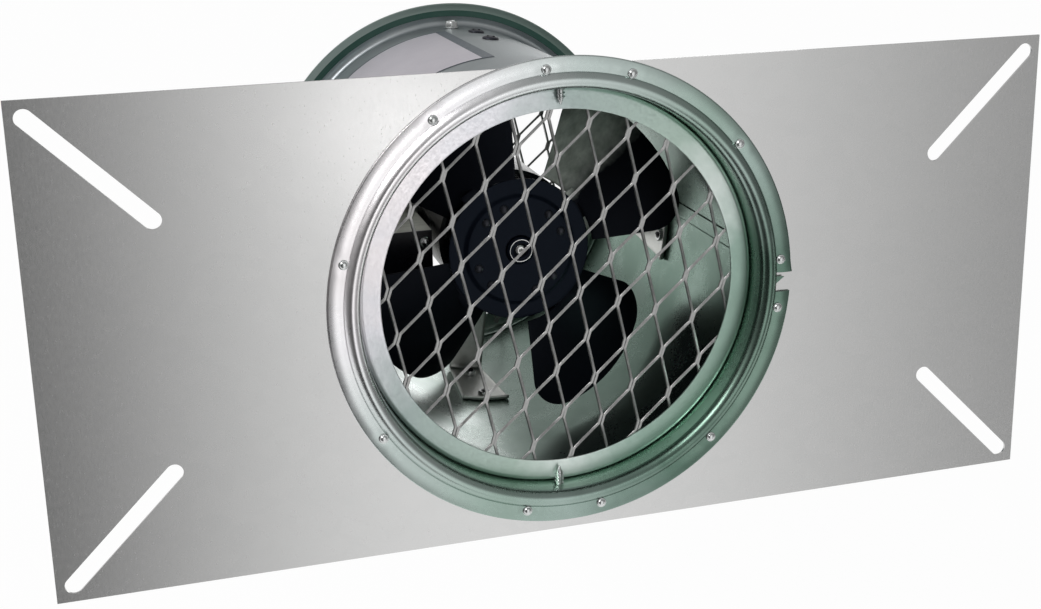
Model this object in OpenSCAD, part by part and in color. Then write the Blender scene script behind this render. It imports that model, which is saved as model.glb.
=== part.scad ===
// Crawl space vent fan: a galvanised wall plate carries a flanged tube that holds a small axial fan.
// Millimetres, +Z up. The fan axis is the Y axis, the plate's wall side is the plane y = 0,
// and the front grille faces -Y. Angles go round the axis from +X towards +Z.

/* [Wall plate] */
// Width of the wall plate
plate_w = 544; // [430:1:640]
// Height of the wall plate
plate_h = 254; // [246:1:340]
// Thickness of the wall plate
plate_t = 1.2; // [0.8:0.1:2]
// Plate centre to the right of the fan axis
plate_shift_x = 3; // [-12:0.5:12]
// Plate centre above the fan axis
plate_shift_z = -5; // [-10:0.5:10]
// Width of a mounting slot
slot_w = 9; // [6:0.5:11]
// Length of a mounting slot between its end centres
slot_len = 75; // [30:1:90]
// Outer slot centre to the plate's edges
slot_inset = 8.8; // [7:0.1:14]

/* [Tube] */
// Outside diameter of the tube
tube_d = 222; // [214:1:226]
// Sheet thickness of the tube
tube_t = 1; // [0.8:0.1:1.4]
// Plate's wall side to the rear flange
tube_len = 273; // [268:1:340]
// Width of both flanges outside the bead
flange_w = 8.5; // [7.5:0.1:14]
// Height of the rolled bead in front of the flange
bead_h = 2.6; // [1.5:0.1:4]
// Radius of the bend from the bead into the tube
bend_r = 4; // [3:0.1:5]
// Width of the bead's outer slope
bead_slope = 4; // [2.5:0.1:5]
// Crown of the flange
flange_crown = 0.4; // [0:0.1:0.8]
// Width of the gap in the front flange at the tube's seam
notch_w = 11; // [6:0.5:16]
// Angle where the lap of the tube's seam begins
seam_angle = 2; // [1.5:0.5:12]
// Width of the lap at the seam
seam_w = 10; // [6:0.5:14]
// Diameter of a rivet's shank
rivet_d = 3.2; // [2.4:0.1:4]
// Rivet circle outside the bead
rivet_offset = 2.5; // [2.3:0.1:4]

/* [Grilles] */
// Width of a grille ring's flat face
ring_w = 12.2; // [9:0.1:16]
// Sheet thickness of a grille ring
ring_t = 1; // [0.8:0.1:1.4]
// Length of a grille ring's skirt
skirt_len = 11; // [8:0.5:16]
// Short diagonal of a mesh diamond
mesh_short = 22.7; // [18:0.1:30]
// Long diagonal of a mesh diamond
mesh_long = 44.6; // [36:0.1:60]
// Width of a mesh strand
strand_w = 2.2; // [1.4:0.1:3]
// Thickness of the mesh
mesh_t = 1.6; // [1:0.1:2.4]
// Lean of the mesh
mesh_angle = -18; // [-45:1:45]
// Diameter of a grille screw
grille_screw_d = 4; // [3:0.1:5]
// Length of a grille screw under its head
grille_screw_len = 11; // [7:0.5:12]

/* [Impeller] */
// Number of blades
blade_count = 4; // [3:1:5]
// Diameter over the blade tips
impeller_d = 202; // [180:1:206]
// Half of the angle that a blade covers
blade_half = 30; // [22:1:31]
// Radius of a blade's tip corners
blade_corner = 17; // [8:1:20]
// Pitch of a blade
blade_pitch = 22; // [12:1:26]
// Radius of a blade's camber
camber_r = 130; // [110:1:300]
// Sheet thickness of a blade
blade_t = 1.2; // [0.8:0.1:1.6]
// Angle of the first blade at rest
blade_angle = 34; // [0:1:90]
// Diameter of the hub disc
hub_d = 85; // [80:1:90]
// Sheet thickness of the hub disc
hub_t = 1.2; // [0.8:0.1:1.6]
// Diameter of the hub disc's raised middle
hub_mid_d = 64; // [60:1:66]
// Height of the hub disc's raised middle
hub_step = 1.5; // [1:0.1:2]
// Diameter of the hub boss
boss_d = 17; // [14:0.5:19]
// Hub disc's front to the motor's front face
hub_gap = 28; // [28:0.5:32]

/* [Motor] */
// Diameter of the motor
motor_d = 84; // [80:1:90]
// Length of the motor between its end faces
motor_len = 68; // [64:1:76]
// Motor's front face to the rear end of the tube
motor_back = 153; // [151:1:155]
// Sheet thickness of the motor's shell
shell_t = 1; // [0.8:0.1:1.4]
// Depth of an end bell
bell_h = 10; // [8:0.5:12]
// Wall of an end bell
bell_t = 2; // [1.5:0.1:2.5]
// Diameter of the motor shaft
shaft_d = 8; // [6:0.1:9]
// Outside diameter of a bearing
bearing_d = 18; // [16:0.5:20]
// Length of a bearing
bearing_len = 11; // [9:0.5:12]
// Wall of an end bell's bearing boss
boss_wall = 4; // [3:0.5:5]
// Diameter of the motor's rotor core
rotor_d = 39.8; // [36:0.1:41]
// Air gap between rotor and stator
air_gap = 0.5; // [0.4:0.1:0.8]
// Length of the stator core
core_len = 30; // [24:1:32]
// Diameter of a motor bolt
bolt_d = 4; // [3:0.1:4.5]

/* [Motor legs] */
// Angle of the upper leg
leg_angle = 83; // [78:1:88]
// Width of a leg at the motor
leg_w = 22; // [14:0.5:24]
// Width of a leg's foot at its free end
foot_w = 30; // [20:0.5:32]
// Length of a leg's foot along the tube
foot_len = 56; // [48:1:56]
// Sheet thickness of a leg
leg_t = 1.5; // [1:0.1:2]
// Height of the lip at a foot's free end
lip_h = 3; // [2:0.1:5]
// Diameter of a leg screw
leg_screw_d = 4; // [3:0.1:5]

/* [Control box] */
// Direction of the control box's sides
box_angle = 180; // [178:1:186]
// Width of the control box
box_w = 42; // [36:1:50]
// Length of the control box along the tube
box_len = 58; // [48:1:58]
// Sheet thickness of the control box
box_t = 1; // [0.8:0.1:1.4]
// Diameter of a cover screw
box_screw_d = 4; // [3:0.1:5]

/* [Nameplate and cable inlet] */
// Length of the nameplate along the tube
name_len = 130; // [60:1:140]
// Angle that the nameplate covers
name_span = 66; // [30:1:72]
// Bore of the cable bushing
bushing_bore = 9; // [6:0.5:11]

/* [Hidden] */
$fn = 96;

// Clearances
seat = 0.1;
slip = 0.3;
hole_gap = 0.2;
run_gap = 0.05;
eps = 0.01;

// Tube and flanges
tube_r = tube_d / 2;
bore_r = tube_r - tube_t;
flange_y = -(plate_t + seat + tube_t / 2);
rear_y = tube_len;
rear_flange_y = rear_y + flange_y;
bead_in_r = tube_r - tube_t / 2 + bend_r;
crease_r = bead_in_r + bead_slope;
flange_r = crease_r + flange_w;
rivet_r = crease_r + rivet_offset;
rivet_angles = [4, 38, 73, 95, 125, 166, 213, 258, 278, 312, 351];
rivet_head_r = 2.6;
rivet_head_h = 1.3;
rivet_tail_h = 0.8;

// Grilles, with the same recess at both ends
screw_recess = 8.5;
ring_recess = screw_recess + grille_screw_d / 2 + seat * 4;
ring_out_r = bore_r - slip;
ring_in_r = ring_out_r - ring_w;
ring_bend = 2.5;
mesh_r = ring_out_r - ring_bend - slip;
mesh_recess = ring_recess + ring_t + seat;
washer_r = 5;
washer_t = 1;
hex_w = 8;
hex_h = 4;
front_screw_angles = [90, 268];
rear_screw_angles = [89, 269];

// Impeller
motor_y = tube_len - motor_back;
hub_y = motor_y - hub_gap;
tip_r = impeller_d / 2;
hub_r = hub_d / 2;
mid_r = hub_mid_d / 2;
boss_r = boss_d / 2;
boss_front_y = hub_y - 2.2;
flange_back_y = hub_y + hub_t + seat + hub_step;
pad_y = flange_back_y + seat;
boss_back_y = pad_y + 12;
boss_plate_r = mid_r - 1;
blade_in_r = hub_r + 1.3;
pad_w = 20;
pad_in_r = boss_r + 6;
blade_rivet_r = 26;
blade_rivet_side = 6.5;
shaft_r = shaft_d / 2;
set_screw_r = 2;
set_screw_y = (pad_y + blade_t + boss_back_y) / 2;

// Motor
motor_r = motor_d / 2;
motor_back_y = motor_y + motor_len;
bearing_r = bearing_d / 2;
bell_boss_r = bearing_r + boss_wall;
bell_boss_out = 4.5;
mid_y = motor_y + motor_len / 2;
rotor_r = rotor_d / 2;
stator_in_r = rotor_r + air_gap;
stator_out_r = motor_r - shell_t - hole_gap;
coil_r = (stator_in_r + stator_out_r) / 2 - 1.6;
coil_rod_r = 3.6;
coil_ring_w = 9;
coil_ring_h = 7;
coil_count = 8;
bolt_r = bolt_d / 2;
bolt_circle_r = motor_r - 5.5;
bolt_head_r = bolt_r + 1.2;
bolt_head_h = 2.2;
nut_h = 3.2;
nut_w = 7;

// Motor legs
leg_y = motor_back_y + seat;
leg_in_r = bolt_circle_r - 8;
foot_r = bore_r - slip;
leg_screw_r = leg_screw_d / 2;
truss_r = 5.4;
truss_h = 2;
foot_screw_near = 12;
foot_screw_far = foot_len - 6;

// Control box, beside the motor and behind the blades
box_y = motor_y + 8;
box_in_x = motor_r + 3;
box_out_r = bore_r - slip;
box_top_z = box_w - 7;
box_back_y = box_y + box_t + seat + box_len;
box_screw_r = box_screw_d / 2;
box_screw_x = box_in_x + box_t + 3.2;
box_screw_zs = [box_top_z - 7.3, box_top_z - box_w + 7.3];
box_rivet_side = box_len / 2 - 8;

// Nameplate and cable inlet
name_y = tube_len - 155;
name_angle = 93;
name_t = 0.3;
bushing_angle = box_angle + 8;
bushing_y = box_y + box_t + box_len / 2;
bushing_neck_r = bushing_bore / 2 + 3;
bushing_lip_r = bushing_neck_r + 3;

function unit(v) = v / norm(v);
function side(c, i) =
    let (t = unit(c[min(i + 1, len(c) - 1)] - c[max(i - 1, 0)])) [-t[1], t[0]];
// Outline of a bent sheet of thickness t round the centre line c
function sheet(c, t) = concat(
    [for (i = [0:len(c) - 1]) c[i] + side(c, i) * t / 2],
    [for (i = [len(c) - 1:-1:0]) c[i] - side(c, i) * t / 2]);

// Centre line of the front flange, bead and bend, as radius and y, from the rim inwards
flange_line = [for (i = [0:4])
    [flange_r - (flange_r - crease_r) * i / 4, flange_y - flange_crown * sin(45 * i)]];
slope_line = [for (i = [1:4])
    [crease_r - bead_slope * i / 4, flange_y - bead_h * (1 - cos(45 * i)) / 2]];
bend_line = [for (i = [1:6])
    [bead_in_r - bend_r * sin(15 * i), flange_y - bead_h + bend_r * (1 - cos(15 * i))]];
front_line = concat(flange_line, slope_line, bend_line);
rear_line = [for (i = [len(front_line) - 1:-1:0]) [front_line[i][0], rear_flange_y - front_line[i][1]]];

// Turns a section given as radius and y into a solid round the fan axis
module turned() {
    rotate([-90, 0, 0]) rotate_extrude($fn = 180) children();
}

// Solid ring round the fan axis
module ring(r_in, r_out, y0, y1) {
    rotate([-90, 0, 0]) translate([0, 0, y0]) difference() {
        cylinder(r = r_out, h = y1 - y0, $fn = 180);
        translate([0, 0, -1]) cylinder(r = r_in, h = y1 - y0 + 2, $fn = 180);
    }
}

// Puts children, drawn with X outwards, at an angle round the fan axis
module at(a) {
    rotate([0, -a, 0]) children();
}

// Rod along the local X axis from radius x0 to x1
module radial_rod(r, x0, x1, y) {
    translate([x0, y, 0]) rotate([0, 90, 0]) cylinder(r = r, h = x1 - x0, $fn = 48);
}

// Rod along Y at radius x
module axial_rod(r, x, y0, y1) {
    translate([x, y0, 0]) rotate([-90, 0, 0]) cylinder(r = r, h = y1 - y0, $fn = 48);
}

// Low round head with its flat side at the origin and its crown towards +Z
module dome(r, h) {
    ball = (r * r + h * h) / (2 * h);
    intersection() {
        translate([0, 0, h - ball]) sphere(r = ball, $fn = 48);
        cylinder(r = r, h = h, $fn = 48);
    }
}

module mounting_plate() {
    color("gainsboro") difference() {
        translate([plate_shift_x - plate_w / 2, -plate_t, plate_shift_z - plate_h / 2])
            cube([plate_w, plate_t, plate_h]);
        ring(0, tube_r + slip, -plate_t - 1, 1);
        for (a = rivet_angles) at(a) axial_rod(rivet_d / 2 + hole_gap, rivet_r, -plate_t - 1, 1);
        for (sx = [-1, 1], sz = [-1, 1]) plate_slot(sx, sz);
    }
}

// Diagonal slot towards one corner of the plate
module plate_slot(sx, sz) {
    x = plate_shift_x + sx * (plate_w / 2 - slot_inset);
    z = plate_shift_z + sz * (plate_h / 2 - slot_inset);
    translate([x, 0, z]) rotate([0, -atan2(-sz, -sx), 0]) {
        axial_rod(slot_w / 2, 0, -plate_t - 1, 1);
        axial_rod(slot_w / 2, slot_len, -plate_t - 1, 1);
        translate([0, -plate_t - 1, -slot_w / 2]) cube([slot_len, plate_t + 2, slot_w]);
    }
}

module housing_tube() {
    color("lightgray") difference() {
        union() {
            turned() polygon(sheet(concat(front_line, rear_line), tube_t));
            seam_lap();
        }
        flange_notch();
        for (a = rivet_angles) at(a)
            axial_rod(rivet_d / 2 + hole_gap, rivet_r, -plate_t - bead_h - 4, -plate_t / 2);
        for (a = front_screw_angles) at(a)
            radial_rod(grille_screw_d / 2 + hole_gap, bore_r - 3, tube_r + 3, screw_recess);
        for (a = rear_screw_angles) at(a)
            radial_rod(grille_screw_d / 2 + hole_gap, bore_r - 3, tube_r + 3, rear_flange_y - screw_recess);
        for (i = [0:3], y = foot_screw_ys(i)) at(leg_angle + 90 * i)
            radial_rod(leg_screw_r + hole_gap, bore_r - 3, tube_r + 3, y);
        at(bushing_angle) radial_rod(bushing_neck_r + hole_gap, bore_r - 3, tube_r + 3, bushing_y);
        at_box_rivets() radial_rod(rivet_d / 2 + hole_gap, bore_r - 3, tube_r + 3, 0);
    }
}

// Lap of the rolled sheet inside the tube, between the two grille rings
module seam_lap() {
    lap_y = ring_recess + skirt_len + 3;
    at(seam_angle) intersection() {
        ring(bore_r - tube_t * 0.7, bore_r + tube_t / 2, lap_y, rear_y - lap_y);
        translate([bore_r - 5, 0, 0]) cube([10, rear_y, seam_w]);
    }
}

// Gap in the front flange at the seam, with a small pointed tab left standing in it
module flange_notch() {
    depth = flange_r - crease_r;
    difference() {
        translate([crease_r, flange_y - 5, 1 - notch_w]) cube([depth + 5, 10, notch_w]);
        translate([0, flange_y, 0]) rotate([-90, 0, 0]) linear_extrude(height = 20, center = true)
            polygon([[crease_r - 1, notch_w * 0.2], [crease_r - 1, notch_w * 0.6],
                [crease_r + depth * 0.55, notch_w * 0.25]]);
    }
}

module flange_rivets() {
    head_y = flange_y - tube_t / 2 - flange_crown - seat;
    color("silver") for (a = rivet_angles) at(a) translate([rivet_r, 0, 0]) {
        axial_rod(rivet_d / 2, 0, head_y, seat + eps);
        translate([0, head_y + eps, 0]) rotate([90, 0, 0]) dome(rivet_head_r, rivet_head_h);
        translate([0, seat, 0]) rotate([-90, 0, 0]) dome(rivet_head_r, rivet_tail_h);
    }
}

module nameplate() {
    color("lavender") intersection() {
        ring(tube_r + seat, tube_r + seat + name_t, name_y, name_y + name_len);
        wedge(name_angle, name_span, name_y, name_len);
    }
}

// Wedge of space round the fan axis, from angle a over span degrees
module wedge(a, span, y, h) {
    reach = tube_r * 2;
    rotate([-90, 0, 0]) translate([0, 0, y - 1]) linear_extrude(height = h + 2)
        polygon([[0, 0], [reach * cos(a), -reach * sin(a)],
            [reach * cos(a + span / 2), -reach * sin(a + span / 2)],
            [reach * cos(a + span), -reach * sin(a + span)]]);
}

module cable_bushing() {
    lip_in = sqrt(pow(box_out_r - box_t, 2) - pow(bushing_lip_r, 2)) - seat;
    lip_out = tube_r + seat * 2;
    color("dimgray") at(bushing_angle) difference() {
        union() {
            radial_rod(bushing_neck_r, lip_in - 2, lip_out + 2, bushing_y);
            radial_rod(bushing_lip_r, lip_in - 2, lip_in, bushing_y);
            radial_rod(bushing_lip_r, lip_out, lip_out + 2, bushing_y);
        }
        radial_rod(bushing_bore / 2, lip_in - 4, lip_out + 4, bushing_y);
    }
}

// Grille ring with its face at y = 0 and its skirt towards +Y
module grille_ring() {
    r = ring_out_r - ring_t / 2;
    line = concat([[ring_in_r, ring_t / 2], [r - ring_bend - 1, ring_t / 2]],
        [for (i = [0:4])
            [r - ring_bend + ring_bend * sin(22.5 * i), ring_t / 2 + ring_bend * (1 - cos(22.5 * i))]],
        [[r, skirt_len]]);
    color("whitesmoke") turned() polygon(sheet(line, ring_t));
}

// Expanded metal disc: a flat sheet with rows of pointed openings
module grille_mesh() {
    rows = ceil(mesh_r * 2 / mesh_long) + 1;
    cols = ceil(mesh_r / mesh_short) + 1;
    open_w = mesh_short - strand_w * 1.15;
    open_h = mesh_long - strand_w * 2.6;
    color("silver") rotate([-90, 0, 0]) linear_extrude(height = mesh_t) difference() {
        circle(r = mesh_r, $fn = 180);
        rotate(-mesh_angle) for (j = [-rows:rows], i = [-cols:cols])
            translate([(i + (j % 2 == 0 ? 0 : 0.5)) * mesh_short, j * mesh_long / 2])
                diamond(open_w, open_h);
    }
}

// Opening of expanded metal, with short straight sides at its waist
module diamond(w, h) {
    waist = h * 0.09;
    polygon([[0, h / 2], [w / 2, waist / 2], [w / 2, -waist / 2],
        [0, -h / 2], [-w / 2, -waist / 2], [-w / 2, waist / 2]]);
}

// Sheet metal screw along -X, with its washer on radius 0
module sheet_screw() {
    r = grille_screw_d / 2;
    color("silver") {
        rotate([0, 90, 0]) cylinder(r = washer_r, h = washer_t);
        translate([washer_t - eps, 0, 0]) rotate([0, 90, 0])
            cylinder(r = hex_w / sqrt(3), h = hex_h, $fn = 6);
        translate([r * 2 - grille_screw_len, 0, 0]) rotate([0, 90, 0])
            cylinder(r = r, h = grille_screw_len - r * 2 + eps);
        translate([-grille_screw_len, 0, 0]) rotate([0, 90, 0]) cylinder(r1 = 0.4, r2 = r, h = r * 2 + eps);
    }
}

module grille_screws(angles, y) {
    for (a = angles) at(a) translate([tube_r + seat * 2, y, 0]) sheet_screw();
}

module front_grille_ring() { translate([0, ring_recess, 0]) grille_ring(); }

module front_grille_mesh() { translate([0, mesh_recess, 0]) grille_mesh(); }

module front_grille_screws() { grille_screws(front_screw_angles, screw_recess); }

module rear_grille_ring() { translate([0, rear_flange_y - ring_recess, 0]) mirror([0, 1, 0]) grille_ring(); }

module rear_grille_mesh() { translate([0, rear_flange_y - mesh_recess - mesh_t, 0]) grille_mesh(); }

module rear_grille_screws() { grille_screws(rear_screw_angles, rear_flange_y - screw_recess); }

// Feet of the upper and left legs point backwards, those of the lower and right legs forwards
function foot_dir(i) = i < 2 ? 1 : -1;
function foot_screw_ys(i) = [for (d = [foot_screw_near, foot_screw_far])
    foot_dir(i) > 0 ? leg_y + leg_t + d : leg_y - d];

// Leg of bent strip: an arm bolted to the motor and a foot that follows the tube
module motor_leg(i) {
    y_free = foot_dir(i) > 0 ? leg_y + leg_t + foot_len : leg_y - foot_len;
    y_arm = foot_dir(i) > 0 ? leg_y + leg_t : leg_y;
    y_low = min(y_free, y_arm);
    color("silver") at(leg_angle + 90 * i) difference() {
        union() {
            intersection() {
                translate([leg_in_r, leg_y, -leg_w / 2]) cube([foot_r - leg_in_r + 5, leg_t, leg_w]);
                ring(leg_in_r - 5, foot_r, leg_y - 1, leg_y + leg_t + 1);
            }
            intersection() {
                ring(foot_r - leg_t, foot_r, min(y_low, leg_y), max(y_free, leg_y + leg_t));
                foot_outline(y_arm - foot_dir(i) * leg_t, y_free);
            }
            intersection() {
                ring(foot_r - lip_h, foot_r, min(y_free, y_free - foot_dir(i) * leg_t),
                    max(y_free, y_free - foot_dir(i) * leg_t));
                foot_outline(y_arm, y_free);
            }
        }
        axial_rod(bolt_r + hole_gap, bolt_circle_r, leg_y - 1, leg_y + leg_t + 1);
        for (y = foot_screw_ys(i)) radial_rod(leg_screw_r + hole_gap, foot_r - 8, foot_r + 3, y);
    }
}

// Block over a foot that widens from the arm to the free end
module foot_outline(y0, y1) {
    translate([foot_r - lip_h - 3, 0, 0]) rotate([90, 0, 90]) linear_extrude(height = lip_h + 8)
        polygon([[y0, -leg_w / 2], [y1, -foot_w / 2], [y1, foot_w / 2], [y0, leg_w / 2]]);
}

module motor_leg_upper() { motor_leg(0); }

module motor_leg_left() { motor_leg(1); }

module motor_leg_lower() { motor_leg(2); }

module motor_leg_right() { motor_leg(3); }

module leg_screws() {
    color("dimgray") for (i = [0:3], y = foot_screw_ys(i)) at(leg_angle + 90 * i) {
        radial_rod(leg_screw_r, foot_r - leg_t - nut_h - 1.4, tube_r + slip + eps, y);
        translate([tube_r + slip, y, 0]) rotate([0, 90, 0]) dome(truss_r, truss_h);
    }
}

module leg_nuts() {
    x = foot_r - leg_t - seat - nut_h;
    color("silver") for (i = [0:3], y = foot_screw_ys(i)) at(leg_angle + 90 * i) difference() {
        translate([x, y, 0]) rotate([0, 90, 0]) cylinder(r = nut_w / sqrt(3), h = nut_h, $fn = 6);
        radial_rod(leg_screw_r + run_gap, x - 1, foot_r, y);
    }
}

module motor_shell() {
    color("black") ring(motor_r - shell_t, motor_r, motor_y + bell_h + seat, motor_back_y - bell_h - seat);
}

// End bell with its face at y = 0 and its rim towards +Y
module end_bell() {
    boss_in = bearing_len - bell_boss_out + 1;
    section = [[bearing_r + run_gap, -bell_boss_out], [bell_boss_r, -bell_boss_out], [bell_boss_r, 0],
        [motor_r - 2, 0], [motor_r, 2], [motor_r, bell_h], [motor_r - bell_t, bell_h],
        [motor_r - bell_t, bell_t + 1], [motor_r - bell_t - 1, bell_t], [bell_boss_r, bell_t],
        [bell_boss_r, boss_in], [bearing_r + run_gap, boss_in]];
    color("dimgray") difference() {
        turned() polygon(section);
        for (i = [0:3]) at(90 * i) axial_rod(bolt_r + hole_gap, bolt_circle_r, -1, bell_t + 1);
    }
}

module motor_front_bell() { translate([0, motor_y, 0]) at(leg_angle) end_bell(); }

module motor_rear_bell() { translate([0, motor_back_y, 0]) mirror([0, 1, 0]) at(leg_angle) end_bell(); }

module bearing(y) {
    color("peru") ring(shaft_r + run_gap, bearing_r, y, y + bearing_len);
}

module front_bearing() { bearing(motor_y - bell_boss_out + 0.5); }

module rear_bearing() { bearing(motor_back_y + bell_boss_out - 0.5 - bearing_len); }

module stator_core() {
    color("slategray") difference() {
        ring(stator_in_r, stator_out_r, mid_y - core_len / 2, mid_y + core_len / 2);
        for (i = [0:coil_count - 1]) at(leg_angle + 22.5 + i * 360 / coil_count)
            axial_rod(coil_rod_r + hole_gap, coil_r, mid_y - core_len, mid_y + core_len);
        for (i = [0:3]) at(leg_angle + 90 * i)
            axial_rod(bolt_r + hole_gap, bolt_circle_r, mid_y - core_len, mid_y + core_len);
    }
}

module stator_coils() {
    end = core_len / 2 + seat;
    color("chocolate") {
        for (s = [-1, 1]) ring(coil_r - coil_ring_w / 2, coil_r + coil_ring_w / 2,
            mid_y + (s > 0 ? end : -end - coil_ring_h), mid_y + (s > 0 ? end + coil_ring_h : -end));
        for (i = [0:coil_count - 1]) at(leg_angle + 22.5 + i * 360 / coil_count)
            axial_rod(coil_rod_r, coil_r, mid_y - end - 1, mid_y + end + 1);
    }
}

module motor_bolts() {
    color("silver") for (i = [0:3]) at(leg_angle + 90 * i) {
        axial_rod(bolt_r, bolt_circle_r, motor_y - seat - eps, leg_y + leg_t + nut_h + 2);
        axial_rod(bolt_head_r, bolt_circle_r, motor_y - seat - bolt_head_h, motor_y - seat);
    }
}

module motor_nuts() {
    y = leg_y + leg_t + seat;
    color("silver") for (i = [0:3]) at(leg_angle + 90 * i) difference() {
        translate([bolt_circle_r, y, 0]) rotate([-90, 0, 0])
            cylinder(r = nut_w / sqrt(3), h = nut_h, $fn = 6);
        axial_rod(bolt_r + run_gap, bolt_circle_r, y - 1, y + nut_h + 1);
    }
}

// Block in the shape of the control box, drawn in by d from its sides and from the tube's wall
module box_block(d, y0, y1) {
    intersection() {
        ring(0, box_out_r - d, y0, y1);
        at(box_angle) translate([box_in_x + d, y0 - 1, box_top_z - box_w + d])
            cube([tube_r, y1 - y0 + 2, box_w - 2 * d]);
    }
}

// Places children at the rivets that hold the control box to the tube, with X outwards
module at_box_rivets() {
    for (s = [-1, 1]) at(bushing_angle) translate([0, bushing_y + s * box_rivet_side, 0]) children();
}

// Box of bent sheet, open to the front, with a threaded post for each cover screw
module control_box() {
    front = box_y + box_t + seat;
    color("darkgray") difference() {
        union() {
            difference() {
                box_block(0, front, box_back_y);
                box_block(box_t, front - 1, box_back_y - box_t);
            }
            for (z = box_screw_zs) at(box_angle)
                translate([box_in_x + box_t / 2, front, z - box_screw_r - 1.2])
                    cube([box_screw_d + 3.4, 8, box_screw_d + 2.4]);
        }
        for (z = box_screw_zs) at(box_angle) translate([0, 0, z])
            axial_rod(box_screw_r + run_gap, box_screw_x, front - 1, front + 9);
        at_box_rivets() radial_rod(rivet_d / 2 + hole_gap, box_out_r - 5, box_out_r + 3, 0);
        at(bushing_angle) radial_rod(bushing_neck_r + hole_gap, box_out_r - 5, box_out_r + 3, bushing_y);
    }
}

module control_box_cover() {
    color("dimgray") difference() {
        box_block(0, box_y, box_y + box_t);
        for (z = box_screw_zs) at(box_angle) translate([0, 0, z])
            axial_rod(box_screw_r + hole_gap, box_screw_x, box_y - 1, box_y + box_t + 1);
    }
}

module control_box_screws() {
    color("silver") for (z = box_screw_zs) at(box_angle) translate([box_screw_x, box_y - seat, z]) {
        axial_rod(box_screw_r, 0, -eps, box_t + 7);
        rotate([90, 0, 0]) dome(box_screw_r * 1.8, box_screw_r * 0.8);
    }
}

module control_box_rivets() {
    tail_x = box_out_r - box_t - seat * 2;
    color("silver") at_box_rivets() {
        radial_rod(rivet_d / 2, tail_x - eps, tube_r + seat + eps, 0);
        translate([tube_r + seat, 0, 0]) rotate([0, 90, 0]) dome(rivet_head_r, rivet_head_h);
        translate([tail_x, 0, 0]) rotate([0, -90, 0]) dome(rivet_head_r, rivet_tail_h);
    }
}

module rotor_core() {
    color("gray") ring(shaft_r + run_gap, rotor_r, mid_y - core_len / 2 - 2, mid_y + core_len / 2 + 2);
}

module motor_shaft() {
    color("silver") ring(0, shaft_r, boss_front_y + 0.6, motor_back_y + bell_boss_out - 1);
}

module thrust_washers() {
    inner = bearing_len - bell_boss_out + 1 + slip;
    color("ivory") {
        ring(shaft_r + run_gap, bearing_r - 1.5, motor_y + inner, motor_y + inner + 1);
        ring(shaft_r + run_gap, bearing_r - 1.5, motor_back_y - inner - 1, motor_back_y - inner);
    }
}

module hub_boss() {
    chamfer = 1;
    section = [[shaft_r + run_gap, boss_front_y], [boss_r - chamfer, boss_front_y],
        [boss_r, boss_front_y + chamfer],
        [boss_r, hub_y + hub_t + seat], [boss_plate_r, hub_y + hub_t + seat], [boss_plate_r, flange_back_y],
        [boss_r, flange_back_y], [boss_r, boss_back_y], [shaft_r + run_gap, boss_back_y]];
    color("dimgray") difference() {
        turned() polygon(section);
        blade_rivet_holes();
        at(blade_angle + 180 / blade_count) radial_rod(set_screw_r + run_gap, 0, boss_r + 2, set_screw_y);
    }
}

module hub_disc() {
    section = [[boss_r + hole_gap, hub_y], [mid_r, hub_y], [mid_r + hub_step, hub_y + hub_step],
        [hub_r, hub_y + hub_step],
        [hub_r, hub_y + hub_step + hub_t], [mid_r + hub_step * 0.6, hub_y + hub_step + hub_t],
        [mid_r - hub_step * 0.4, hub_y + hub_t], [boss_r + hole_gap, hub_y + hub_t]];
    color("black") difference() {
        turned() polygon(section);
        blade_rivet_holes();
    }
}

module hub_set_screw() {
    color("dimgray") at(blade_angle + 180 / blade_count)
        radial_rod(set_screw_r, shaft_r + run_gap, boss_r + 0.8, set_screw_y);
}

// Places children at each blade's two rivets, with Y along the fan axis
module at_blade_rivets() {
    for (i = [0:blade_count - 1], s = [-1, 1]) at(blade_angle + i * 360 / blade_count)
        translate([blade_rivet_r, 0, s * blade_rivet_side]) children();
}

module blade_rivet_holes() {
    at_blade_rivets() axial_rod(rivet_d / 2 + hole_gap, 0, hub_y - 5, pad_y + 5);
}

module blade_rivets() {
    back = pad_y + blade_t + seat;
    color("gray") at_blade_rivets() {
        axial_rod(rivet_d / 2, 0, hub_y - seat, back + eps);
        translate([0, hub_y - seat + eps, 0]) rotate([90, 0, 0]) dome(rivet_head_r, rivet_head_h);
        translate([0, back, 0]) rotate([-90, 0, 0]) dome(rivet_head_r, rivet_tail_h);
    }
}

// Face outline of a blade: a sector of the swept ring with round tip corners
function blade_outline() =
    let (mid = tip_r - blade_corner, lean = asin(blade_corner / mid), a = blade_half - lean,
        up = [for (i = [0:7]) let (t = blade_half + 90 - (90 + lean) * i / 7)
            [mid * cos(a) + blade_corner * cos(t), mid * sin(a) + blade_corner * sin(t)]],
        tip = [for (i = [1:5]) let (t = a - 2 * a * i / 6) [tip_r * cos(t), tip_r * sin(t)]],
        down = [for (i = [7:-1:0]) [up[i][0], -up[i][1]]],
        root = [for (i = [0:6]) let (t = -blade_half + 2 * blade_half * i / 6)
            [blade_in_r * cos(t), blade_in_r * sin(t)]])
    concat(up, tip, down, root);

// Blade: a cambered and pitched paddle on a flat pad that is riveted behind the hub disc
module blade(i) {
    pad_mid = pad_y + blade_t / 2;
    if (i < blade_count) color("black") at(blade_angle + i * 360 / blade_count) difference() {
        union() {
            intersection() {
                rotate([-90, 0, 0]) translate([0, 0, pad_mid - tip_r])
                    linear_extrude(height = tip_r * 2) polygon(blade_outline());
                translate([0, pad_mid, 0]) rotate([-blade_pitch, 0, 0]) cambered_sheet();
            }
            translate([pad_in_r, pad_y, -pad_w / 2]) cube([blade_in_r + 4 - pad_in_r, blade_t, pad_w]);
        }
        for (s = [-1, 1]) axial_rod_at(blade_rivet_r, s * blade_rivet_side);
    }
}

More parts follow.
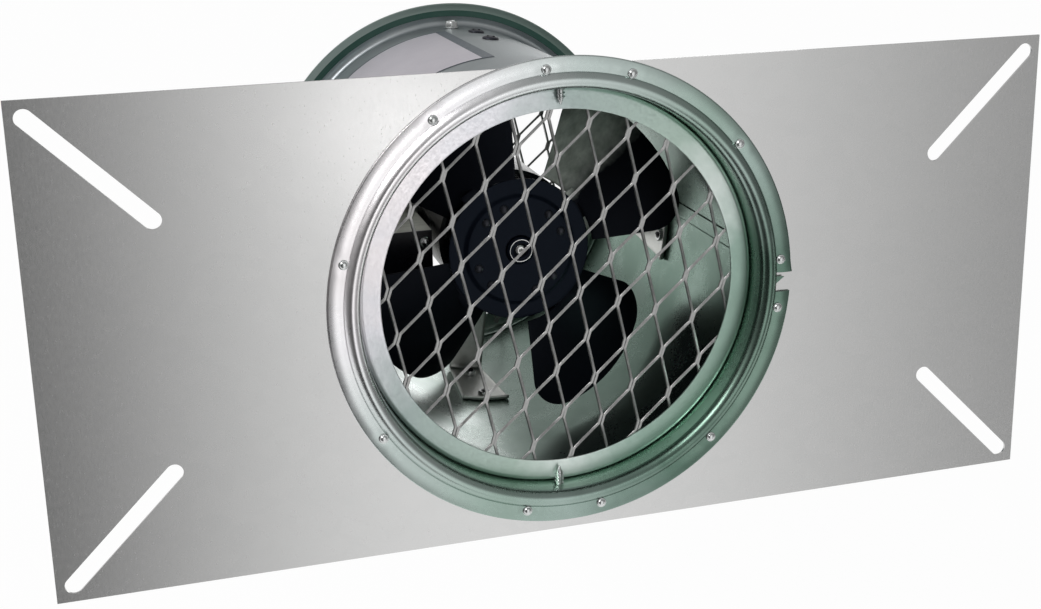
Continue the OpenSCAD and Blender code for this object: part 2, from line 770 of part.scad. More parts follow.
module axial_rod_at(x, z) {
    translate([0, 0, z]) axial_rod(rivet_d / 2 + hole_gap, x, pad_y - 2, pad_y + blade_t + 2);
}

// Thin arched sheet along X whose crown touches y = 0
module cambered_sheet() {
    translate([0, camber_r - blade_t / 2, 0]) rotate([0, 90, 0]) difference() {
        cylinder(r = camber_r, h = tip_r + 10, $fn = 180);
        translate([0, 0, -1]) cylinder(r = camber_r - blade_t, h = tip_r + 12, $fn = 180);
    }
}

module blade_1() { blade(0); }

module blade_2() { blade(1); }

module blade_3() { blade(2); }

module blade_4() { blade(3); }

mounting_plate();
housing_tube();
flange_rivets();
nameplate();
cable_bushing();
front_grille_ring();
front_grille_mesh();
front_grille_screws();
rear_grille_ring();
rear_grille_mesh();
rear_grille_screws();
motor_leg_upper();
motor_leg_left();
motor_leg_lower();
motor_leg_right();
leg_screws();
leg_nuts();
motor_shell();
motor_front_bell();
motor_rear_bell();
stator_core();
stator_coils();
motor_bolts();
motor_nuts();
front_bearing();
rear_bearing();
control_box();
control_box_cover();
control_box_screws();
control_box_rivets();
rotor_core();
motor_shaft();
thrust_washers();
hub_boss();
hub_disc();
hub_set_screw();
blade_1();
blade_2();
blade_3();
blade_4();
blade_rivets();
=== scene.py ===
"""Looks of the crawl space vent fan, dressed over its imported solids.

The pieces are drawn in millimetres until make() scales them. The ground, lamps,
camera and materials are in metres.
"""

import math

import bmesh
import bpy
import numpy as np
from mathutils import Matrix, Vector

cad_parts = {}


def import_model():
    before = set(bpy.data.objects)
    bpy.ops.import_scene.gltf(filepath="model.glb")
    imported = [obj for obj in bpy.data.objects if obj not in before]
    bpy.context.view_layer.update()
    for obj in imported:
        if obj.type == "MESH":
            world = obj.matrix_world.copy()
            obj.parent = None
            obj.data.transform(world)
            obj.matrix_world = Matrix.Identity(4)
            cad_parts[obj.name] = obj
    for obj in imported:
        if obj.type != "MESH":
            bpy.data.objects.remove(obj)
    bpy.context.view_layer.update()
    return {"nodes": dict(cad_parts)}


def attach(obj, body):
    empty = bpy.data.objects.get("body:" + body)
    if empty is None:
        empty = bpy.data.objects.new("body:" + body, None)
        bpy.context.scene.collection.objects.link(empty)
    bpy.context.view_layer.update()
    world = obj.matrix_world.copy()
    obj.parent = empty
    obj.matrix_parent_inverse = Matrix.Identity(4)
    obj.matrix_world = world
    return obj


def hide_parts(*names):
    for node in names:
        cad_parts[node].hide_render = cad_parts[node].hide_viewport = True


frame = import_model()
NODES = frame["nodes"]
PI = math.pi

# Values shared with the solids
FLANGE_R, FLANGE_Y, CROWN = 127.0, -1.8, 0.4
CREASE_R, BEAD_R, BEAD_H, BEND_R = 118.5, 114.5, 2.6, 4.0
TUBE_R, BORE_R, TUBE_T, TUBE_LEN = 111.0, 110.0, 1.0, 273.0
REAR_Y = TUBE_LEN + FLANGE_Y
RIVET_ANGLES = [4, 38, 73, 95, 125, 166, 213, 258, 278, 312, 351]
RIVET_R = 121.0
NOTCH_W = 11.0
SCREW_RECESS, RING_RECESS, MESH_RECESS = 8.5, 10.9, 12.0
SCREW_ANGLES = {"front": (90, 268), "rear": (89, 269)}
RING_OUT, RING_IN, RING_T, SKIRT = 109.7, 97.5, 1.0, 11.0
MESH_R, MESH_T, STRAND_W = 106.7, 1.6, 2.2
MESH_SHORT, MESH_LONG, MESH_LEAN = 22.7, 44.6, -18.0
KNOT, STRAND_OFFSET, STRAND_TILT = 0.125, 0.34, 0.42
STRAND_WIDE, STRAND_DEEP = 0.68, 0.8
HUB_Y, HUB_T, HUB_R, MID_R, HUB_STEP, BOSS_R = 92.0, 1.2, 42.5, 32.0, 1.5, 8.5
BOSS_FACE = HUB_Y - 2.2
PAD_Y, BLADE_T, BLADE_IN, TIP_R = 94.9, 1.2, 43.8, 101.0
BLADE_HALF, CORNER, PITCH, CAMBER_R, BLADE_ANGLE = 30.0, 17.0, 22.0, 130.0, 34.0
PAD_IN, PAD_OUT, PAD_HALF, BLADE_RIVET_R, BLADE_RIVET_Z = 14.8, 46.5, 9.7, 26, 6.5
MOTOR_BACK = 188.0
LEG_Y, LEG_T, LEG_W, FOOT_W, FOOT_LEN, FOOT_R, LIP_H = 188.1, 1.5, 22.0, 30.0, 56.0, 109.7, 3.0
LEG_ANGLE, LEG_IN, LEG_SCREWS = 83.0, 28.9, (12, 50)
BUSH_ANGLE, BUSH_Y, BUSH_HOLE = 188.0, 158.0, 8.6


def polar(r, y, degrees):
    """Point at radius r and an angle round the fan axis, y along it."""
    a = math.radians(degrees)
    return Vector((r * math.cos(a), y, r * math.sin(a)))


def turn(degrees):
    """Turns a piece drawn with X outwards to its angle round the fan axis."""
    return Matrix.Rotation(-math.radians(degrees), 4, "Y")


# Mesh building


class Shell:
    """Vertices and faces gathered in millimetres."""

    def __init__(self):
        self.v, self.f = [], []

    def add(self, verts, faces, matrix=None):
        base = len(self.v)
        self.v += [(matrix @ Vector(p)) if matrix else Vector(p) for p in verts]
        self.f += [tuple(base + i for i in face) for face in faces]

    def grid(self, rows, close_u=False, close_v=False, matrix=None):
        """Faces over rows of points, each row of one length."""
        n, m = len(rows), len(rows[0])
        verts = [p for row in rows for p in row]
        faces = []
        for i in range(n if close_u else n - 1):
            for j in range(m if close_v else m - 1):
                a, b = i * m + j, i * m + (j + 1) % m
                c, d = ((i + 1) % n) * m + (j + 1) % m, ((i + 1) % n) * m + j
                faces.append((a, b, c, d))
        self.add(verts, faces, matrix)

    def revolve(self, line, steps, closed=False):
        """Turns a line of (r, y) round the Y axis. A point on the axis closes the form there."""
        rows = []
        for r, y in line:
            rows.append([polar(max(r, 0.0005), y, 360 * k / steps) for k in range(steps)])
        self.grid(rows, close_u=closed, close_v=True)

    def tube(self, rings, matrix=None):
        """Joins rings of points, in order, and caps both ends."""
        self.grid(rings, close_v=True, matrix=matrix)
        n, m = len(rings), len(rings[0])
        base = len(self.v) - n * m
        self.f.append(tuple(base + k for k in range(m)))
        self.f.append(tuple(base + (n - 1) * m + k for k in reversed(range(m))))


def make(shell, name, material, body, stands_for=None, sharp=32):
    """Makes the piece, scaled to metres, with its faces turned outwards and edges over sharp degrees kept."""
    data = bpy.data.meshes.new(name)
    data.from_pydata([tuple(p * 0.001) for p in shell.v], [], shell.f)
    bm = bmesh.new()
    bm.from_mesh(data)
    bmesh.ops.remove_doubles(bm, verts=bm.verts, dist=1e-6)
    bmesh.ops.recalc_face_normals(bm, faces=bm.faces)
    bm.to_mesh(data)
    bm.free()
    obj = bpy.data.objects.new(name, data)
    bpy.context.scene.collection.objects.link(obj)
    data.shade_smooth()
    data.set_sharp_from_angle(angle=math.radians(sharp))
    data.materials.append(material)
    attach(obj, body)
    if stands_for:
        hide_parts(stands_for)


def strip(line, t):
    """Closed outline of a sheet of thickness t round a centre line of (r, y), with rounded edges."""
    p = np.array(line, float)
    along = np.gradient(p, axis=0)
    along /= np.linalg.norm(along, axis=1)[:, None]
    normal = np.stack([-along[:, 1], along[:, 0]], 1)
    inset = t * 0.25
    left, right = p + normal * t / 2, p - normal * t / 2
    for side in (left, right):
        side[0] += along[0] * inset
        side[-1] -= along[-1] * inset
    start = [tuple(p[0] + normal[0] * t * s) for s in (-0.36, 0, 0.36)]
    end = [tuple(p[-1] + normal[-1] * t * s) for s in (0.36, 0, -0.36)]
    return [tuple(q) for q in left] + end + [tuple(q) for q in right[::-1]] + start


def slab(shell, rows, t, matrix=None, edge=0.3):
    """Sheet of thickness t over rows of mid-surface points, with edges that bulge by edge."""
    g = np.array([[tuple(p) for p in row] for row in rows], float)
    n = np.cross(np.gradient(g, axis=0), np.gradient(g, axis=1))
    n /= np.linalg.norm(n, axis=2)[..., None] + 1e-12
    a, b = g.shape[:2]
    loop = [(0, j) for j in range(b)] + [(i, b - 1) for i in range(1, a)]
    loop += [(a - 1, j) for j in range(b - 2, -1, -1)] + [(i, 0) for i in range(a - 2, 0, -1)]
    verts = [tuple(p) for p in (g + n * t / 2).reshape(-1, 3)]
    verts += [tuple(p) for p in (g - n * t / 2).reshape(-1, 3)]
    faces = []
    for i in range(a - 1):
        for j in range(b - 1):
            q = (i * b + j, i * b + j + 1, (i + 1) * b + j + 1, (i + 1) * b + j)
            faces.append(q)
            faces.append(tuple(a * b + k for k in reversed(q)))

    # The rim runs round the sheet from one face to the other
    pts = np.array([g[k] for k in loop])
    rim_n = np.array([n[k] for k in loop])
    tangent = np.roll(pts, -1, 0) - np.roll(pts, 1, 0)
    tangent /= np.linalg.norm(tangent, axis=1)[:, None] + 1e-12
    out = np.cross(tangent, rim_n)
    out /= np.linalg.norm(out, axis=1)[:, None] + 1e-12
    flip = np.sign(((pts - g.reshape(-1, 3).mean(0)) * out).sum())
    out *= flip if flip else 1
    rings = [[i * b + j for i, j in loop]]
    for degrees in (55, 20, -20, -55):
        c, s = math.cos(math.radians(degrees)), math.sin(math.radians(degrees))
        rings.append(list(range(len(verts), len(verts) + len(loop))))
        verts += [tuple(p) for p in pts + out * edge * c + rim_n * (t / 2) * s]
    rings.append([a * b + i * b + j for i, j in loop])
    for r0, r1 in zip(rings, rings[1:]):
        for k in range(len(loop)):
            k1 = (k + 1) % len(loop)
            faces.append((r0[k], r0[k1], r1[k1], r1[k]))
    shell.add(verts, faces, matrix)


def spread(a, b, n):
    """Values from a to b in n even steps, both ends included."""
    return [a + (b - a) * k / n for k in range(n + 1)]


# Materials


# Direction round the mouth where the painted reflections are palest
PALE_REFLECTION_ANGLE = math.radians(150)
# Places of the tube's tones and of its painted shade and reflections, as distances from the front or from the
# axis in metres
FACE_END, MOUTH_END, OUTSIDE_START, REAR_START = 0.0005, 0.02, 0.001, 0.2
OUTSIDE_R, REAR_RIM_R, REAR_LIP_R = 0.1107, 0.1181, 0.1222
# Nameplate on the tube, in metres along and across and degrees round the axis
LABEL_R, LABEL_FROM, LABEL_TO = 0.1113, 0.118, 0.248
LABEL_ANGLE, LABEL_SPAN = 93, 66
# Where the painted sheen on the first blade begins and is full, in degrees
SHEEN_FROM, SHEEN_FULL = 38, 51


class Tree:
    """Short forms for building a node tree."""

    def __init__(self, tree):
        self.tree = tree

    def new(self, kind, **values):
        node = self.tree.nodes.new(kind)
        for key, value in values.items():
            setattr(node, key, value)
        return node

    def link(self, a, b):
        self.tree.links.new(a, b)

    def feed(self, socket, value):
        """Links the value to the socket if it is another node's output, or else sets it there."""
        if hasattr(value, "links"):
            self.link(value, socket)
        else:
            socket.default_value = value

    def math(self, op, a, b=0.0):
        node = self.new("ShaderNodeMath", operation=op)
        for socket, value in zip(node.inputs, (a, b)):
            self.feed(socket, value)
        return node.outputs[0]

    def above(self, value, limit):
        """1 where the value is over the limit, 0 elsewhere."""
        return self.math("GREATER_THAN", value, limit)

    def below(self, value, limit):
        """1 where the value is under the limit, 0 elsewhere."""
        return self.math("LESS_THAN", value, limit)

    def both(self, a, b):
        """Product of two masks."""
        return self.math("MULTIPLY", a, b)

    def either(self, a, b):
        """The greater of two masks."""
        return self.math("MAXIMUM", a, b)

    def wander(self, value, cloud, amount):
        """The value moved to both sides by the cloud."""
        moved = self.math("MULTIPLY", self.math("SUBTRACT", cloud, 0.5), amount)
        return self.math("ADD", value, moved)

    def blend(self, a, part, b):
        """Part of a and the rest of b, added up."""
        return self.math("ADD", self.math("MULTIPLY", a, part), self.math("MULTIPLY", b, 1 - part))

    def remap(self, value, a, b, c, d):
        """The value's range from a to b stretched to c to d, and held there."""
        node = self.new("ShaderNodeMapRange")
        for k, v in enumerate((value, a, b, c, d)):
            self.feed(node.inputs[k], v)
        return node.outputs[0]

    def ramp(self, fac, stops):
        """Colours over fac; a stop is (place, colour) or (place, grey level)."""
        node = self.new("ShaderNodeValToRGB")
        while len(node.color_ramp.elements) < len(stops):
            node.color_ramp.elements.new(0.5)
        for element, (place, colour) in zip(node.color_ramp.elements, stops):
            element.position = place
            element.color = (*(colour if isinstance(colour, tuple) else (colour,) * 3), 1)
        self.link(fac, node.inputs[0])
        return node.outputs["Color"]

    def mix(self, fac, a, b):
        """Colour a where fac is 0 and b where it is 1."""
        node = self.new("ShaderNodeMix", data_type="RGBA")
        self.feed(node.inputs["Factor"], fac)
        for socket, value in ((node.inputs[6], a), (node.inputs[7], b)):
            self.feed(socket, (*value, 1) if isinstance(value, tuple) else value)
        return node.outputs[2]

    def mix_shaders(self, fac, a, b):
        node = self.new("ShaderNodeMixShader")
        for socket, value in zip(node.inputs, (fac, a, b)):
            self.link(value, socket)
        return node.outputs[0]


class Nodes(Tree):
    """One material, with its node tree."""

    def __init__(self, name):
        self.material = bpy.data.materials.new(name)
        self.material.use_nodes = True
        super().__init__(self.material.node_tree)
        self.bsdf = self.tree.nodes["Principled BSDF"]
        self.where = self.new("ShaderNodeTexCoord").outputs["Object"]

    def set(self, **values):
        """Feeds the shader's inputs, with _ for each space in their names."""
        for key, value in values.items():
            self.feed(self.bsdf.inputs[key.replace("_", " ")], value)

    def stretch(self, x, y, z):
        """Place on the object with each axis multiplied, for streaks in a noise."""
        node = self.new("ShaderNodeMapping")
        node.inputs["Scale"].default_value = (x, y, z)
        self.link(self.where, node.inputs["Vector"])
        return node.outputs["Vector"]

    def around(self):
        """Angle round the fan axis in radians, distance from the axis, and Y."""
        sep = self.new("ShaderNodeSeparateXYZ")
        self.link(self.where, sep.inputs[0])
        angle = self.math("ARCTAN2", sep.outputs["Z"], sep.outputs["X"])
        across = self.math("POWER", sep.outputs["X"], 2.0)
        radius = self.math("SQRT", self.math("ADD", across, self.math("POWER", sep.outputs["Z"], 2.0)))
        return angle, radius, sep.outputs["Y"]

    def painted_pale_side(self, angle):
        """1 where the painted reflections round the mouth are palest, 0 across from it."""
        turned = self.math("COSINE", self.math("SUBTRACT", angle, PALE_REFLECTION_ANGLE))
        return self.math("ADD", self.math("MULTIPLY", turned, 0.5), 0.5)

    def noise(self, scale, detail=3.0, rough=0.5, vector=None, distort=0.0):
        node = self.new("ShaderNodeTexNoise")
        node.inputs["Scale"].default_value = scale
        node.inputs["Detail"].default_value = detail
        node.inputs["Roughness"].default_value = rough
        node.inputs["Distortion"].default_value = distort
        self.link(vector or self.where, node.inputs["Vector"])
        return node.outputs["Fac"]

    def cells(self, scale, vector):
        node = self.new("ShaderNodeTexVoronoi")
        node.inputs["Scale"].default_value = scale
        self.link(vector, node.inputs["Vector"])
        return node.outputs["Color"]

    def bump(self, *layers):
        """Each layer is (height, distance in metres), finest last."""
        normal = None
        for height, distance in layers:
            node = self.new("ShaderNodeBump")
            node.inputs["Distance"].default_value = distance
            node.inputs["Strength"].default_value = 1.0
            self.link(height, node.inputs["Height"])
            if normal:
                self.link(normal, node.inputs["Normal"])
            normal = node.outputs[0]
        self.link(normal, self.bsdf.inputs["Normal"])


def sheet_metal():
    """Galvanised plate: a satin sheet with a faint spangle and fine rolling streaks."""
    m = Nodes("galvanised_sheet")
    flakes = m.cells(110, m.stretch(1, 1, 1.2))
    grain = m.noise(900, 2, 0.6, m.stretch(1, 1, 0.35))
    cloud = m.noise(9, 4, 0.55)
    tone = m.math("ADD", m.math("MULTIPLY", flakes, 0.02), m.math("MULTIPLY", grain, 0.08))
    tone = m.math("ADD", tone, m.math("MULTIPLY", cloud, 0.03))
    colour = m.ramp(tone, [(0.0, (0.60, 0.605, 0.60)), (0.13, (0.705, 0.70, 0.695))])
    m.set(Base_Color=colour, Metallic=1.0, Roughness=m.remap(grain, 0.3, 0.7, 0.235, 0.275))
    m.bump((m.noise(4, 2, 0.4), 0.00008), (grain, 0.0000015))
    return m.material


def tube_metal():
    """Rolled and flanged galvanised sheet, with painted reflections round the axis: pinkish pale on one side,
    greenish on the other.
    """
    m = Nodes("galvanised_tube")
    angle, radius, y = m.around()
    # Painted reflection: pale pink on one side round the axis, dark green on the other
    painted_reflection = m.math("ADD", m.math("MULTIPLY", m.math("COSINE", m.math("ADD", angle, 0.3)), 0.46), 0.5)
    cloud = m.noise(22, 4, 0.6)
    fine = m.noise(620, 2, 0.6)
    colour = m.ramp(m.wander(painted_reflection, cloud, 0.5), [
        (0.0, (0.90, 0.86, 0.88)), (0.28, (0.68, 0.72, 0.71)), (0.62, (0.42, 0.53, 0.475)),
        (1.0, (0.21, 0.32, 0.26))])
    scratch = m.noise(70, 5, 0.72, m.stretch(1, 5, 1), 0.6)
    scratched = m.math("MULTIPLY", m.above(scratch, 0.7), 0.06)
    colour = m.mix(scratched, colour, (0.86, 0.88, 0.87))

    # Face of the flange, with painted reflections from its green side to its pale one
    # Painted reflection on the flange face
    face = m.ramp(m.wander(m.painted_pale_side(angle), cloud, 0.2), [
        (0.0, (0.19, 0.28, 0.23)), (0.07, (0.115, 0.19, 0.15)), (0.25, (0.34, 0.43, 0.395)),
        (0.4, (0.31, 0.41, 0.36)), (0.72, (0.52, 0.59, 0.57)), (0.92, (0.94, 0.93, 0.95)),
        (1.0, (0.97, 0.94, 0.95))])
    # Painted light: on its green side the wall in front of the grille ring is made paler, to lift its shade
    painted_green_side = m.remap(m.painted_pale_side(angle), 0.5, 0.9, 1, 0)
    colour = m.mix(m.both(m.below(y, MOUTH_END), painted_green_side), colour, (0.46, 0.62, 0.53))
    colour = m.mix(m.below(y, FACE_END), colour, face)

    # Outside of the barrel, and the rear flange with painted shade and a painted highlight on its lip
    outside = m.both(m.above(radius, OUTSIDE_R), m.above(y, OUTSIDE_START))
    colour = m.mix(outside, colour, m.ramp(cloud, [(0.3, (0.36, 0.40, 0.41)), (0.7, (0.46, 0.49, 0.50))]))
    # Painted shade: the rear flange is coloured a dark green
    rear_rim = m.both(m.above(radius, REAR_RIM_R), m.above(y, REAR_START))
    colour = m.mix(rear_rim, colour, m.ramp(cloud, [(0.3, (0.035, 0.085, 0.07)), (0.7, (0.07, 0.13, 0.11))]))
    # Painted highlight: a paler band on the lip, on the pale side of the painted reflections
    lip = m.both(rear_rim, m.above(radius, REAR_LIP_R))
    colour = m.mix(m.both(lip, m.painted_pale_side(angle)), colour, (0.34, 0.42, 0.385))

    rough = m.remap(m.math("ADD", cloud, m.math("MULTIPLY", fine, 0.4)), 0.4, 1.0, 0.2, 0.36)
    m.set(Base_Color=colour, Metallic=1.0, Roughness=m.math("ADD", rough, m.math("MULTIPLY", outside, 0.16)))
    wave = m.noise(14, 2, 0.5, m.stretch(1, 0.4, 1))
    m.bump((wave, 0.0009), (m.noise(70, 1, 0.4), 0.00003), (fine, 0.000004))
    return m.material


def ring_metal():
    """Rolled ring of the same zinc, with painted reflections: paler at the left and greener at the right."""
    m = Nodes("galvanised_ring")
    angle, _, _ = m.around()
    cloud = m.noise(40, 3, 0.6)
    # Painted reflection round the ring
    colour = m.ramp(m.wander(m.painted_pale_side(angle), cloud, 0.24), [
        (0.0, (0.33, 0.46, 0.39)), (0.1, (0.38, 0.52, 0.45)), (0.25, (0.78, 0.86, 0.82)),
        (0.4, (0.46, 0.58, 0.51)), (0.72, (0.42, 0.50, 0.48)), (0.9, (0.84, 0.84, 0.88)),
        (1.0, (0.96, 0.92, 0.94))])
    fine = m.noise(800, 2, 0.6)
    m.set(Base_Color=colour, Metallic=1.0, Roughness=m.remap(fine, 0.3, 0.7, 0.3, 0.42))
    m.bump((cloud, 0.0002), (fine, 0.00001))
    return m.material


def plain_metal(name, low, high, rough, scale=260, depth=0.00003, streak=None, cloud_scale=35):
    """Metal with mottled tone and fine grain; streak stretches the grain along an axis."""
    m = Nodes(name)
    vector = m.stretch(*streak) if streak else m.where
    grain = m.noise(scale, 3, 0.6, vector)
    cloud = m.noise(cloud_scale, 3, 0.6)
    tone = m.blend(grain, 0.6, cloud)
    m.set(Base_Color=m.ramp(tone, [(0.3, low), (0.7, high)]), Metallic=1.0,
          Roughness=m.remap(tone, 0.3, 0.7, *rough))
    m.bump((cloud, depth * 3), (grain, depth))
    return m.material


def paint(name, low, high, rough, scale=420, depth=0.00002, metallic=0.0, shine=0.5, tint=(1, 1, 1)):
    """Painted or moulded surface with fine peel, clouds and dust; tint colours what it reflects."""
    m = Nodes(name)
    peel = m.noise(scale, 3, 0.55)
    cloud = m.noise(24, 4, 0.6)
    dust_and_sheen = m.noise(1500, 2, 0.7)
    tone = m.blend(cloud, 0.6, dust_and_sheen)
    m.set(Base_Color=m.ramp(tone, [(0.3, low), (0.7, high)]), Metallic=metallic,
          Roughness=m.remap(tone, 0.3, 0.7, *rough), Specular_IOR_Level=shine,
          Specular_Tint=(*tint, 1))
    m.bump((cloud, depth * 4), (peel, depth))
    return m.material


def sheen_painted_blade():
    """Black blade whose trailing part carries a painted greenish sheen, brushed outwards."""
    m = Nodes("blade_painted_sheen")
    angle, _, _ = m.around()
    cloud = m.noise(30, 4, 0.65)
    brushed = m.noise(260, 3, 0.65, m.stretch(0.5, 1, 0.2))
    edge = m.wander(angle, cloud, 0.22)
    # Painted sheen: a pale, metallic green film over the trailing part
    sheen = m.remap(edge, math.radians(SHEEN_FROM), math.radians(SHEEN_FULL), 0, 1)
    dust_and_sheen = m.ramp(m.blend(brushed, 0.6, cloud), [(0.3, (0.32, 0.37, 0.32)), (0.7, (0.88, 0.94, 0.86))])
    m.set(Base_Color=m.mix(sheen, (0.0015, 0.0018, 0.0035), dust_and_sheen), Roughness=m.remap(sheen, 0, 1, 0.46, 0.38),
          Metallic=m.math("MULTIPLY", sheen, 0.8), Specular_IOR_Level=m.remap(sheen, 0, 1, 0.14, 0.4),
          Specular_Tint=(0.7, 0.8, 1.0, 1))
    m.bump((cloud, 0.00008), (brushed, 0.00002))
    return m.material


def nameplate_metal():
    """Bare pale plate with a dark border, wide on its right."""
    m = Nodes("nameplate")
    angle, _, y = m.around()
    across = m.math("MULTIPLY", m.math("SUBTRACT", angle, math.radians(LABEL_ANGLE)), LABEL_R)
    sides = m.either(m.below(across, 0.0072), m.above(across, math.radians(LABEL_SPAN) * LABEL_R - 0.0010))
    ends = m.either(m.above(y, LABEL_TO - 0.0025), m.below(y, LABEL_FROM + 0.0009))
    border = m.either(sides, ends)
    grain = m.noise(700, 2, 0.6)
    cloud = m.noise(30, 3, 0.6)
    field = m.ramp(m.blend(grain, 0.5, cloud), [(0.3, (0.70, 0.67, 0.73)), (0.7, (0.80, 0.77, 0.82))])
    m.set(Base_Color=m.mix(border, field, (0.10, 0.12, 0.14)), Metallic=m.remap(border, 0, 1, 0.7, 0.0),
          Roughness=m.remap(grain, 0.3, 0.7, 0.36, 0.48))
    m.bump((grain, 0.00001))
    return m.material


MAT = {
    "sheet": sheet_metal(),
    "tube": tube_metal(),
    "ring": ring_metal(),
    "mesh": plain_metal("expanded_steel", (0.38, 0.38, 0.375), (0.58, 0.58, 0.57), (0.36, 0.5), 500, 0.00002),
    "zinc": plain_metal("plated_steel", (0.60, 0.63, 0.62), (0.78, 0.79, 0.79), (0.18, 0.32), 420, 0.00002),
    "oxide": paint("dark_steel", (0.02, 0.022, 0.03), (0.05, 0.052, 0.065), (0.25, 0.4), metallic=0.6),
    "leg": plain_metal("leg_steel", (0.70, 0.72, 0.68), (0.84, 0.85, 0.82), (0.3, 0.42), 300, 0.000005,
                       (1, 0.2, 1)),
    "box": plain_metal("box_steel", (0.30, 0.31, 0.26), (0.62, 0.63, 0.56), (0.3, 0.46), 240, 0.00006,
                       (0.16, 1, 1.6), 60),
    "motor": paint("motor_paint", (0.004, 0.005, 0.008), (0.009, 0.010, 0.015), (0.22, 0.34), shine=0.35),
    "lamination": plain_metal("lamination", (0.2, 0.21, 0.23), (0.36, 0.37, 0.39), (0.4, 0.6), 900, 0.00005,
                              (1, 8, 1)),
    "wire": plain_metal("magnet_wire", (0.42, 0.16, 0.05), (0.62, 0.28, 0.1), (0.25, 0.4), 900, 0.0001,
                        (1, 6, 1)),
    "bronze": plain_metal("bronze", (0.4, 0.26, 0.12), (0.58, 0.4, 0.2), (0.35, 0.5)),
    "nylon": paint("nylon", (0.72, 0.7, 0.62), (0.84, 0.82, 0.75), (0.4, 0.55)),
    "shaft": plain_metal("shaft_steel", (0.62, 0.62, 0.61), (0.8, 0.8, 0.79), (0.15, 0.26), 500, 0.00001,
                         (1, 8, 1)),
    "blade": paint("blade_paint", (0.0012, 0.0015, 0.003), (0.003, 0.0036, 0.007), (0.4, 0.52), shine=0.14,
                   tint=(0.7, 0.8, 1.0)),
    # The first blade has a painted sheen
    "blade_painted_sheen": sheen_painted_blade(),
    "hub": paint("hub_paint", (0.002, 0.0035, 0.008), (0.005, 0.0075, 0.016), (0.3, 0.42), shine=0.15,
                 tint=(0.62, 0.76, 1.0)),
    "plate": nameplate_metal(),
    "rubber": paint("rubber", (0.012, 0.012, 0.012), (0.03, 0.03, 0.03), (0.6, 0.8), 200, 0.00008),
}
CAD_MATERIALS = {
    "sheet": ["mounting_plate"],
    "tube": ["housing_tube"],
    "ring": ["front_grille_ring", "rear_grille_ring"],
    "mesh": ["front_grille_mesh", "rear_grille_mesh"],
    "zinc": ["flange_rivets", "front_grille_screws", "rear_grille_screws", "leg_nuts", "motor_bolts",
             "motor_nuts", "control_box_screws", "control_box_rivets"],
    "oxide": ["leg_screws", "hub_set_screw", "blade_rivets"],
    "leg": ["motor_leg_upper", "motor_leg_left", "motor_leg_lower", "motor_leg_right"],
    "box": ["control_box"],
    "motor": ["motor_shell", "motor_front_bell", "motor_rear_bell", "control_box_cover"],
    "lamination": ["stator_core", "rotor_core"],
    "wire": ["stator_coils"],
    "bronze": ["front_bearing", "rear_bearing"],
    "nylon": ["thrust_washers"],
    "shaft": ["motor_shaft"],
    "blade": ["blade_2", "blade_3", "blade_4"],
    # The first blade has a painted sheen
    "blade_painted_sheen": ["blade_1"],
    "hub": ["hub_disc", "hub_boss"],
    "plate": ["nameplate"],
    "rubber": ["cable_bushing"],
}
for look, node_names in CAD_MATERIALS.items():
    for node_name in node_names:
        NODES[node_name].data.materials.clear()
        NODES[node_name].data.materials.append(MAT[look])


# Tube with its flanges


def front_flange():
    """Centre line of the flange, from the rim to the crease."""
    line = [(FLANGE_R - (FLANGE_R - CREASE_R) * k / 10, FLANGE_Y - CROWN * math.sin(PI * k / 10))
            for k in range(11)]
    line[-1] = (line[-1][0], line[-1][1] + 0.12)
    return line


def front_bead():
    """Centre line of the bead and the bend into the tube, from the crease inwards."""
    line = []
    for k in range(9):
        t = k / 8
        line.append((CREASE_R - (CREASE_R - BEAD_R) * t, FLANGE_Y - BEAD_H * math.sin(PI / 2 * t) ** 0.85))
    line += [(BEAD_R - BEND_R * math.sin(math.radians(9 * k)),
              FLANGE_Y - BEAD_H + BEND_R * (1 - math.cos(math.radians(9 * k)))) for k in range(1, 11)]
    return line


def pucker(p):
    """The point, moved by the small dents of the sheet round each rivet."""
    r, a = math.hypot(p.x, p.z), math.degrees(math.atan2(p.z, p.x)) % 360
    if r < CREASE_R - 3:
        return p
    for k, angle in enumerate(RIVET_ANGLES):
        da = (a - angle + 180) % 360 - 180
        if abs(da) < 9:
            # Distances from the rivet, along and across the flange
            s, q = math.radians(da) * r, r - RIVET_R
            depth = (0.55, 0.8, 0.5)[k % 3]
            dent = 0.32 * math.exp(-1.3 * ((s / 4.6) ** 2 + (q / 3.6) ** 2))
            swell = 0.14 * math.exp(-((abs(s) - 6.5) / 2.0) ** 2) * math.exp(-(q / 3) ** 2)
            p = p + Vector((0, depth * (dent - swell), 0))
    return p


